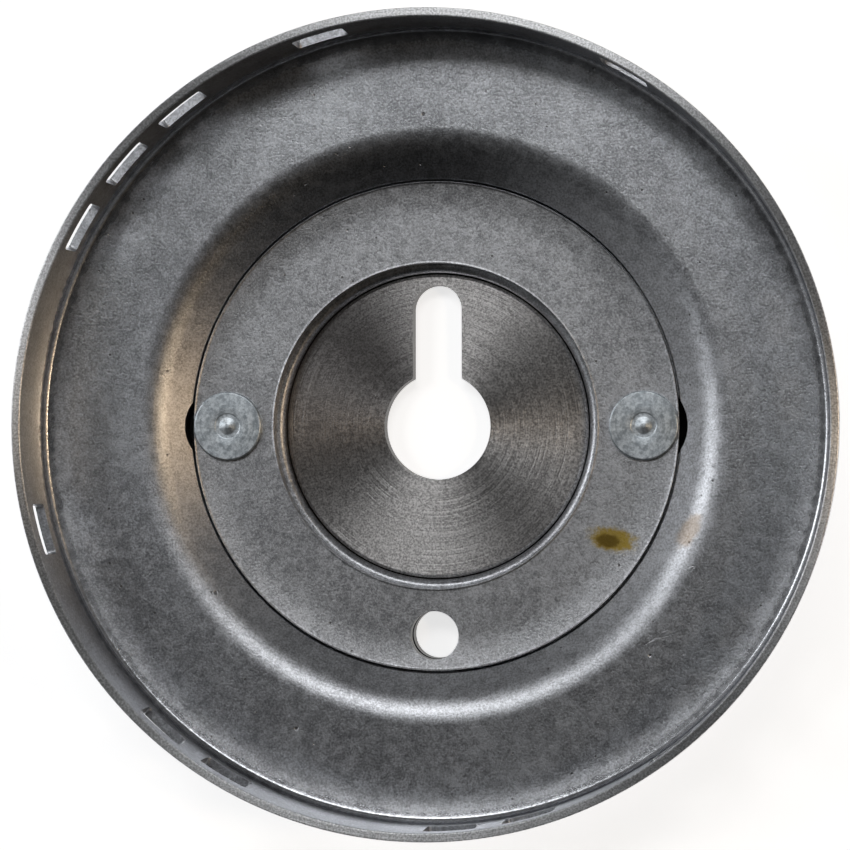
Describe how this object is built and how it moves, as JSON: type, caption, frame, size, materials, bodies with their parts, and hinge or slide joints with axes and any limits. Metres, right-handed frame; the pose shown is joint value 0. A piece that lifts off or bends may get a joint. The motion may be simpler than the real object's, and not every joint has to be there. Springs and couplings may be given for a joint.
{
  "type": "flywheel",
  "caption": "Deep-drawn steel flywheel drum with coded rim windows, riveted between a flat clamp ring and a turned hub plate that has a keyhole bore.",
  "frame": {"origin": "on the spin axis at the hub plate's flat back face, which is the lowest plane", "axes": "+Z along the spin axis out of the drum's open mouth, +Y along the keyhole slot, rivets on the X axis"},
  "size_m": [0.166, 0.166, 0.034],
  "materials": {
    "drum_steel": "bare mill steel, grey, lightly oiled",
    "ring_steel": "bare mill steel, tumbled",
    "hub_steel": "face turned, fine concentric marks",
    "rivet_steel": "zinc plated, spun head"
  },
  "bodies": {
    "root": {"drum": "drum_steel", "clamp_ring": "ring_steel", "hub_plate": "hub_steel", "rivet_left": "rivet_steel", "rivet_right": "rivet_steel"}
  },
  "joints": []
}
